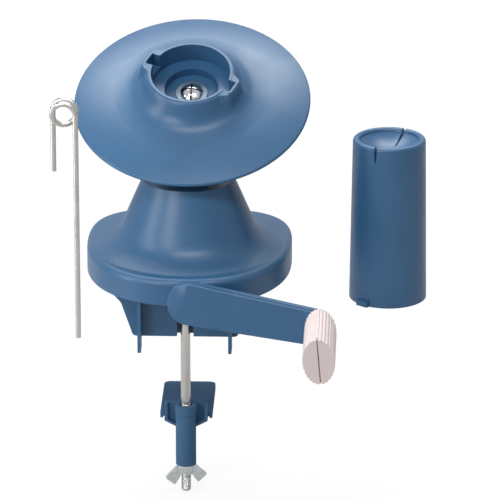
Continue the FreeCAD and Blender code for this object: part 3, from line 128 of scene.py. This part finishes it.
# Noise in the surfaces, as scale and detail. The scale of the metal's lines comes from each metal's own
# stretch.
NOISE_ROUGHNESS = 0.55
CLOUD_NOISE = (26.0, 4.0)
SPECK_NOISE = (900.0, 2.0)
SHEEN_NOISE = (70.0, 5.0)
LINES_NOISE = (1.0, 4.0)
TARNISH_NOISE = (120.0, 4.0)
FLOOR_NOISE = (3.0, 3.0)

# The ranges of noise that are used, how far they let the roughness stray, and the strength of their bumps.
NOISE_RANGE = (0.3, 0.7)
TARNISH_RANGE = (0.35, 0.7)
SHEEN_STRAY = (-0.04, 0.04)
LINES_STRAY = (-0.05, 0.07)
SPECK_STRENGTH = 0.35
LINES_STRENGTH = 0.4

# Painted shade in the cross recess of the hub screw: half the width of its arms, and how softly they end, as
# a share of that.
RECESS_HALF_WIDTH = 0.0006
RECESS_SOFT = 0.04

# An edge of a piece made here is sharp beyond this angle.
SHARP_ANGLE = 38

# Crank arm, in millimetres: the radius and place of its hub and its tip, its thickness, the bend of its
# hub, and the shares of the thickness at which its edges step in by the insets, where a groove runs between
# its two ends.
ARM_PLACE = (0, -65.8, 30.6)
ARM_SLOPE = 10.8
ARM_HUB, ARM_HUB_AT = 12.8, 3.5
ARM_TIP, ARM_TIP_AT = 10.4, 78.6
ARM_THICK = 7.6
ARM_BEND, ARM_BEND_FROM, ARM_BEND_DEPTH = 30.0, 20.0, 3.8
ARM_SHARES = (0, 0.05, 0.64, 0.66, 0.79, 0.81, 0.935, 1)
GROOVE_DEPTH = 1
ARM_INSETS = (0.4, 0, 0, GROOVE_DEPTH, GROOVE_DEPTH, 0, 0, 0.5)
GROOVE_ENDS = (9.0, 79.0)
GROOVE_RUN_OUTS = (3, 2)
HUB_STEPS, EDGE_STEPS, TIP_STEPS = 24, 24, 12

# The disc's own frame, in millimetres: where its axis crosses the upright one, and how far below that it
# starts.
DISC_CROSSING = (0, 0, 178.7)
DISC_DROP = 64.0
DISC_TURN = -2.4
DISC_TILT = 26.5

# Flank of the disc's collar, in millimetres: rows of height, radius and radius at a notch, from the top
# down, with the inner radius beside the collar and behind a pocket, and the turns that a pocket and its
# swelling take.
NOTCH_TURN = -24.0
POCKET_HALF_TURN = 11
NOTCH_REACH, NOTCH_BLEND = 24, 12
FLANK_TOP, FLANK_FLOOR = 24.6, 12.0
FLANK_INNER = (25.15, 28.9)
FLANK_ROWS = (
    (24.5, 25.6, 29.9), (23.7, 26.4, 30.5), (22.2, 27.3, 31.0), (20.0, 28.2, 31.4), (17.5, 29.3, 31.8),
    (15.0, 31.0, 32.5), (13.0, 33.3, 33.9), (11.5, 36.0, 36.2), (10.78, 38.0, 38.1), (10.12, 40.0, 40.0),
    (9.52, 42.0, 42.0), (8.98, 44.0, 44.0), (8.5, 46.0, 46.0), (7.95, 48.0, 48.0), (8.9, 36.0, 36.0),
)
FLANK_STEPS = 288

# Clamp rod with its rolled thread; the run-out is in pitches.
ROD_RADIUS = 0.0029
THREAD_PITCH = 0.001
THREAD_DEPTH = 0.00042
THREAD_TOP = -0.0425
THREAD_RUN_OUT = 2.0
THREAD_STEEPNESS, THREAD_ROOT = 1.6, 0.3
ROD_CHAMFER = 0.0007
ROD_STEPS = 32
STEPS_IN_PITCH = 8


class Shader:
    """One node-based material under construction."""

    def __init__(self, name):
        self.material = bpy.data.materials.new(name)
        self.material.use_nodes = True
        self.tree = self.material.node_tree
        self.surface = self.tree.nodes["Principled BSDF"]
        self.place = self.tree.nodes.new("ShaderNodeTexCoord").outputs["Object"]

    def put(self, kind, **sockets):
        """Adds a node and sets or links its inputs by name; an underscore stands for a space."""
        node = self.tree.nodes.new(kind)
        for name, value in sockets.items():
            self.feed(node.inputs[name.replace("_", " ")], value)
        return node

    def feed(self, socket, value):
        """Links a socket to another one, or sets it to a value."""
        if isinstance(value, bpy.types.NodeSocket):
            self.tree.links.new(value, socket)
        else:
            socket.default_value = value

    def stretched(self, x, y, z):
        """Object coordinates, scaled along the three axes."""
        return self.put("ShaderNodeMapping", Vector=self.place, Scale=(x, y, z)).outputs["Vector"]

    def noise(self, scale, detail, vector=None):
        node = self.put("ShaderNodeTexNoise", Vector=vector or self.place, Scale=scale, Detail=detail,
                        Roughness=NOISE_ROUGHNESS)
        return node.outputs["Fac"]

    def span(self, value, source, target):
        """Maps a range of a value to another one; each range is a pair."""
        node = self.put("ShaderNodeMapRange", Value=value, From_Min=source[0], From_Max=source[1],
                        To_Min=target[0], To_Max=target[1])
        return node.outputs["Result"]

    def stray(self, value, middle, spread):
        """Maps noise to a range round a middle value."""
        return self.span(value, NOISE_RANGE, [middle + part for part in spread])

    def mix(self, factor, first, second):
        """A colour between two others."""
        node = self.tree.nodes.new("ShaderNodeMix")
        node.data_type = "RGBA"
        self.feed(node.inputs["Factor"], factor)
        self.feed(node.inputs["A"], first)
        self.feed(node.inputs["B"], second)
        return node.outputs["Result"]

    def bump(self, height, distance, strength):
        """A normal that a height disturbs."""
        node = self.put("ShaderNodeBump", Height=height, Distance=distance, Strength=strength)
        return node.outputs["Normal"]

    def math(self, operation, *values):
        """One arithmetic node; its values are sockets."""
        node = self.put("ShaderNodeMath")
        node.operation = operation
        for index, value in enumerate(values):
            self.tree.links.new(value, node.inputs[index])
        return node.outputs["Value"]


def moulded_plastic(name, deep, light, roughness, grain):
    """Matte moulded plastic: cloudy tone, spark-eroded grain and slight wear in its sheen."""
    shader = Shader(name)
    inputs = shader.surface.inputs
    tone = shader.span(shader.noise(*CLOUD_NOISE), NOISE_RANGE, (0.0, 1.0))
    shader.feed(inputs["Base Color"], shader.mix(tone, deep, light))
    shader.feed(inputs["Roughness"], shader.stray(shader.noise(*SHEEN_NOISE), roughness, SHEEN_STRAY))
    shader.feed(inputs["Normal"], shader.bump(shader.noise(*SPECK_NOISE), grain, SPECK_STRENGTH))
    return shader


def drawn_metal(name, dark, light, roughness, along, scratch):
    """Drawn or turned metal with fine lines; the scale is small along the lines."""
    shader = Shader(name)
    inputs = shader.surface.inputs
    lines = shader.noise(*LINES_NOISE, shader.stretched(*along))
    tone = shader.span(shader.noise(*TARNISH_NOISE), TARNISH_RANGE, (0.0, 1.0))
    shader.feed(inputs["Base Color"], shader.mix(tone, light, dark))
    inputs["Metallic"].default_value = 1.0
    shader.feed(inputs["Roughness"], shader.stray(lines, roughness, LINES_STRAY))
    shader.feed(inputs["Normal"], shader.bump(lines, scratch, LINES_STRENGTH))
    return shader


def cross_screw(name):
    """Bright plate with near-black painted shade in its cross recess, which lies along two lines through the
    disc's axis.
    """
    shader = drawn_metal(name, CHROME_DARK, CHROME, 0.14, (300, 300, 300), 0.000002)
    local = shader.put("ShaderNodeMapping", Vector=shader.place,
                       Location=[value / 1000 for value in DISC_CROSSING],
                       Rotation=(math.radians(DISC_TILT), 0, math.radians(DISC_TURN)))
    local.vector_type = "TEXTURE"
    split = shader.put("ShaderNodeSeparateXYZ", Vector=local.outputs["Vector"])
    off = [shader.math("ABSOLUTE", split.outputs[axis]) for axis in ("X", "Y")]
    edge = [RECESS_HALF_WIDTH * (1 + side * RECESS_SOFT) for side in (-1, 1)]
    # Painted shade: the cross recess is coloured near black along its two arms.
    recess_shade = shader.span(shader.math("MINIMUM", *off), edge, (1.0, 0.0))
    colour = shader.surface.inputs["Base Color"]
    shader.feed(colour, shader.mix(recess_shade, colour.links[0].from_socket, RECESS_PAINTED_SHADE))
    return shader


def make_materials():
    """The material of each slot in the record and of each finish of a node's own."""
    shaders = {
        "blue_plastic": moulded_plastic("blue_moulding", BLUE_DEEP, BLUE_LIGHT, 0.36, 0.00005),
        "jaw_plastic": moulded_plastic("jaw_moulding", JAW_DEEP, JAW_LIGHT, 0.72, 0.00008),
        "pink_plastic": moulded_plastic("pink_moulding", PINK_DEEP, PINK_LIGHT, 0.5, 0.00008),
        "gear_nylon": moulded_plastic("natural_nylon", NYLON_DARK, NYLON, 0.4, 0.00003),
        "steel": drawn_metal("drawn_steel", STEEL_DARK, STEEL, 0.25, (1500, 1500, 40), 0.0000015),
        "zinc": drawn_metal("zinc_plate", ZINC_DARK, ZINC, 0.3, (500, 500, 500), 0.000003),
        "chrome": drawn_metal("bright_plate", CHROME_DARK, CHROME, 0.1, (300, 300, 300), 0.000002),
        "screw": cross_screw("cross_screw"),
        "washer": drawn_metal("dull_washer", WASHER_DARK, WASHER, 0.5, (900, 900, 900), 0.00003),
        "bush_bronze": drawn_metal("sintered_bronze", BRONZE_DARK, BRONZE, 0.42, (1500, 1500, 1500),
                                   0.00002),
    }
    return {slot: shader.material for slot, shader in shaders.items()}


def dress(materials):
    """Gives every node the material of its slot in the record, and a few their own finish."""
    for part in frame["record"]["subparts"]:
        mesh = NODES[part["node"]].data
        mesh.materials.clear()
        mesh.materials.append(materials[OWN_FINISH.get(part["node"], part["material_slot"])])


def hang(name, points, faces, material):
    """A smooth mesh with its sharper edges kept."""
    mesh = bpy.data.meshes.new(name)
    mesh.from_pydata(points, [], faces)
    mesh.shade_smooth()
    mesh.set_sharp_from_angle(angle=math.radians(SHARP_ANGLE))
    mesh.materials.append(material)
    item = bpy.data.objects.new(name, mesh)
    SCENE.collection.objects.link(item)
    return item


def lathe(name, rows, steps, material, ring=False):
    """A body of revolution from rows of (height, radius as a function of the turn), capped or a ring."""
    points = []
    faces = []
    for height, radius in rows:
        for step in range(steps):
            angle = 2 * math.pi * step / steps
            reach = radius(step / steps)
            points.append((reach * math.cos(angle), reach * math.sin(angle), height))
    for row in range(len(rows) - 1 + ring):
        upper = (row + 1) % len(rows)
        for step in range(steps):
            following = (step + 1) % steps
            faces.append((row * steps + step, row * steps + following,
                          upper * steps + following, upper * steps + step))
    if not ring:
        faces.append(tuple(reversed(range(steps))))
        faces.append(tuple(range(len(points) - steps, len(points))))
    return hang(name, points, faces, material)


def thread_wave(height, turn):
    """1 at the crest of the thread and 0 at its root."""
    share = (height / THREAD_PITCH - turn) % 1.0
    return min(1.0, max(0.0, THREAD_STEEPNESS * abs(2 * share - 1) - THREAD_ROOT))


def build_threaded_rod(material):
    """The clamp rod: plain above, with a rolled thread below and a chamfered end."""
    low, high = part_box("clamp_rod")
    centre = (Vector(low) + Vector(high)) / 2
    rows = [(low[2], lambda turn: ROD_RADIUS - ROD_CHAMFER)]
    count = round((THREAD_TOP - low[2] - ROD_CHAMFER) / THREAD_PITCH * STEPS_IN_PITCH)
    for index in range(count + 1):
        height = low[2] + ROD_CHAMFER + index * THREAD_PITCH / STEPS_IN_PITCH
        ease = min(1.0, (count - index) / (THREAD_RUN_OUT * STEPS_IN_PITCH))

        def radius(turn, height=height, ease=ease):
            return ROD_RADIUS - THREAD_DEPTH * ease * (1 - thread_wave(height, turn))
        rows.append((height, radius))
    rows.append((high[2] - ROD_CHAMFER, lambda turn: ROD_RADIUS))
    rows.append((high[2], lambda turn: ROD_RADIUS - ROD_CHAMFER))
    rod = lathe("threaded_rod", rows, ROD_STEPS, material)
    rod.data.transform(Matrix.Translation((centre.x, centre.y, 0)))
    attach(rod, "housing")
    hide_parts("clamp_rod")


def arm_stations():
    """Along the arm, round its hub, edges and tip: (place, half height, the way out of its edge)."""
    lean = math.asin((ARM_HUB - ARM_TIP) / (ARM_TIP_AT - ARM_HUB_AT))
    hub = []
    for index in range(1, HUB_STEPS + 1):
        angle = math.pi - (math.pi / 2 + lean) * index / HUB_STEPS
        hub.append((ARM_HUB_AT + ARM_HUB * math.cos(angle), ARM_HUB * math.sin(angle), angle))
    tip = []
    for index in range(TIP_STEPS):
        angle = (math.pi / 2 - lean) * (1 - index / TIP_STEPS)
        tip.append((ARM_TIP_AT + ARM_TIP * math.cos(angle), ARM_TIP * math.sin(angle), angle))
    start, end = hub[-1], tip[0]
    edges = []
    for index in range(1, EDGE_STEPS):
        share = index / EDGE_STEPS
        edges.append((start[0] + (end[0] - start[0]) * share, start[1] + (end[1] - start[1]) * share, end[2]))
    return hub + edges + tip


def arm_row(place, half, angle):
    """One section across the arm: its upper edge from back to front, then its lower edge."""
    bend = min(1.0, max(0.0, ARM_BEND_FROM - place) / ARM_BEND)
    depth = ARM_THICK - ARM_BEND_DEPTH * (1 - math.sqrt(1 - bend * bend))
    groove = min(1.0, max(0.0, place - GROOVE_ENDS[0]) / GROOVE_RUN_OUTS[0],
                 max(0.0, GROOVE_ENDS[1] - place) / GROOVE_RUN_OUTS[1])
    upper = []
    for share, inset in zip(ARM_SHARES, ARM_INSETS):
        step = inset * groove if inset == GROOVE_DEPTH else inset
        step = min(step, half / 2)
        upper.append((place - step * math.cos(angle), -depth * share, half - step * math.sin(angle)))
    return upper + [(x, y, -z) for x, y, z in reversed(upper)]


def build_crank_arm(material):
    """The crank arm: flat and crisp, with grooved edges and a hub that bends back at its end."""
    rows = [arm_row(*station) for station in arm_stations()]
    size = len(rows[0])
    points = [point for row in rows for point in row]
    faces = [tuple(range(size)), tuple(reversed(range(len(points) - size, len(points))))]
    for row in range(len(rows) - 1):
        first, second = row * size, (row + 1) * size
        for spot in range(size):
            after = (spot + 1) % size
            faces.append((first + after, first + spot, second + spot, second + after))
    arm = hang("flat_crank_arm", points, faces, material)
    turn = Matrix.Rotation(math.radians(ARM_SLOPE), 4, "Y")
    arm.data.transform(Matrix.Scale(0.001, 4) @ Matrix.Translation(ARM_PLACE) @ turn)
    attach(arm, "crank")
    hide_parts("crank_arm")


def beside_notch(turn):
    """How far off the nearer notch is, in degrees."""
    return abs((turn * 360 - NOTCH_TURN + 90) % 180 - 90)


def build_collar_flank(material):
    """The smooth shoulder outside the disc's collar, which takes in the pockets of the two notches."""
    def inner(turn):
        off = beside_notch(turn)
        if off < POCKET_HALF_TURN:
            return FLANK_INNER[1] / math.cos(math.radians(off))
        return FLANK_INNER[0]

    rows = [(FLANK_TOP, inner)]
    for height, plain, notched in FLANK_ROWS:
        def radius(turn, plain=plain, notched=notched):
            near = min(1.0, max(0.0, (NOTCH_REACH - beside_notch(turn)) / NOTCH_BLEND))
            return plain + (notched - plain) * near * near * (3 - 2 * near)
        rows.append((height, radius))
    rows.append((FLANK_FLOOR, inner))
    flank = lathe("collar_flank", rows, FLANK_STEPS, material, ring=True)
    turn = Matrix.Rotation(math.radians(DISC_TURN), 4, "Z") @ Matrix.Rotation(math.radians(DISC_TILT), 4, "X")
    flank.data.transform(Matrix.Scale(0.001, 4) @ Matrix.Translation(DISC_CROSSING) @ turn
                         @ Matrix.Translation((0, 0, -DISC_DROP)))
    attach(flank, "disc")


def camera_axes():
    """The camera's right, up and forward directions."""
    elevation, yaw = math.radians(CAMERA_ELEVATION), math.radians(CAMERA_YAW)
    forward = Vector((-math.sin(yaw) * math.cos(elevation), math.cos(yaw) * math.cos(elevation),
                      -math.sin(elevation)))
    right = Vector((math.cos(yaw), math.sin(yaw), 0))
    return right, right.cross(forward), forward


def place_camera():
    """A long lens whose picture puts the frame's origin where the photograph has it."""
    right, up, forward = camera_axes()
    across = (ORIGIN_PIXEL[0] - PHOTO_SIDE / 2) / FOCAL_PIXELS * CAMERA_DEPTH
    rise = (PHOTO_SIDE / 2 - ORIGIN_PIXEL[1]) / FOCAL_PIXELS * CAMERA_DEPTH
    spot = -(right * across + up * rise + forward * CAMERA_DEPTH)
    data = bpy.data.cameras.new("portrait")
    data.sensor_width = SENSOR_WIDTH
    data.lens = FOCAL_PIXELS * SENSOR_WIDTH / PHOTO_SIDE
    data.clip_end = CAMERA_REACH
    camera = bpy.data.objects.new("portrait", data)
    turn = Matrix((right, up, -forward)).transposed().to_4x4()
    camera.matrix_world = Matrix.Translation(spot) @ turn
    SCENE.collection.objects.link(camera)
    SCENE.camera = camera


def soft_box(name, spot, target, size, power):
    """A rectangular area light that faces a target."""
    data = bpy.data.lights.new(name, "AREA")
    data.shape = "RECTANGLE"
    data.size, data.size_y = size
    data.energy = power
    light = bpy.data.objects.new(name, data)
    light.location = spot
    light.rotation_euler = (Vector(target) - Vector(spot)).to_track_quat("-Z", "Y").to_euler()
    SCENE.collection.objects.link(light)


def blend_number(tree, share, low, high):
    """A number that goes from low, a socket or plain, to high, which is plain."""
    node = tree.nodes.new("ShaderNodeMapRange")
    tree.links.new(share, node.inputs["Value"])
    if isinstance(low, bpy.types.NodeSocket):
        tree.links.new(low, node.inputs["To Min"])
    else:
        node.inputs["To Min"].default_value = low
    node.inputs["To Max"].default_value = high
    return node.outputs["Result"]


def light_studio():
    """The soft boxes and the room's own light, which is stronger behind the object."""
    for light in LIGHTS:
        soft_box(*light)
    world = bpy.data.worlds.new("studio")
    world.use_nodes = True
    tree = world.node_tree
    background = tree.nodes["Background"]
    background.inputs["Color"].default_value = WHITE
    place = tree.nodes.new("ShaderNodeTexCoord")
    split = tree.nodes.new("ShaderNodeSeparateXYZ")
    tree.links.new(place.outputs["Generated"], split.inputs["Vector"])
    rear = tree.nodes.new("ShaderNodeMapRange")
    rear.inputs["From Min"].default_value, rear.inputs["From Max"].default_value = ROOM_CHANGE
    rear.inputs["To Min"].default_value = ROOM_FRONT
    rear.inputs["To Max"].default_value = ROOM_REAR
    tree.links.new(split.outputs["Y"], rear.inputs["Value"])
    paths = tree.nodes.new("ShaderNodeLightPath")
    mirrored = blend_number(tree, paths.outputs["Is Glossy Ray"], rear.outputs["Result"], ROOM_MIRRORED)
    through = blend_number(tree, paths.outputs["Is Transmission Ray"], mirrored, ROOM_MIRRORED)
    seen = blend_number(tree, paths.outputs["Is Camera Ray"], through, 1.0)
    tree.links.new(seen, background.inputs["Strength"])
    SCENE.world = world


def lay_floor():
    """A plain white floor below the clamp, which keeps a faint shadow."""
    drop = cad_box[0][2] - FLOOR_GAP
    mesh = bpy.data.meshes.new("studio_floor")
    corners = [(-FLOOR_SIDE, FLOOR_NEAR, drop), (FLOOR_SIDE, FLOOR_NEAR, drop),
               (FLOOR_SIDE, FLOOR_FAR, drop), (-FLOOR_SIDE, FLOOR_FAR, drop)]
    mesh.from_pydata(corners, [], [(0, 1, 2, 3)])
    floor = bpy.data.objects.new("studio_floor", mesh)
    SCENE.collection.objects.link(floor)
    shader = Shader("floor_white")
    tree = shader.tree
    paths = tree.nodes.new("ShaderNodeLightPath")
    pale = shader.mix(shader.noise(*FLOOR_NOISE), FLOOR, WHITE)
    mirrored = blend_number(tree, paths.outputs["Is Glossy Ray"], 0.0, FLOOR_MIRRORED)
    shown = blend_number(tree, paths.outputs["Is Camera Ray"], mirrored, 1.0)
    shader.feed(shader.surface.inputs["Base Color"], shader.mix(shown, FLOOR_BOUNCE, pale))
    shader.surface.inputs["Roughness"].default_value = FLOOR_ROUGHNESS
    glow = shader.put("ShaderNodeEmission", Color=WHITE, Strength=1.0)
    seen = blend_number(tree, paths.outputs["Is Camera Ray"], 0.0, FLOOR_GLOW)
    blend = shader.put("ShaderNodeMixShader", Fac=seen)
    tree.links.new(shader.surface.outputs["BSDF"], blend.inputs[1])
    tree.links.new(glow.outputs["Emission"], blend.inputs[2])
    tree.links.new(blend.outputs["Shader"], tree.nodes["Material Output"].inputs["Surface"])
    mesh.materials.append(shader.material)


def main():
    """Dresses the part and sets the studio."""
    SCENE.view_settings.view_transform = "Standard"
    materials = make_materials()
    dress(materials)
    build_threaded_rod(materials["steel"])
    build_crank_arm(materials["blue_plastic"])
    build_collar_flank(materials["blue_plastic"])
    place_camera()
    light_studio()
    lay_floor()


main()
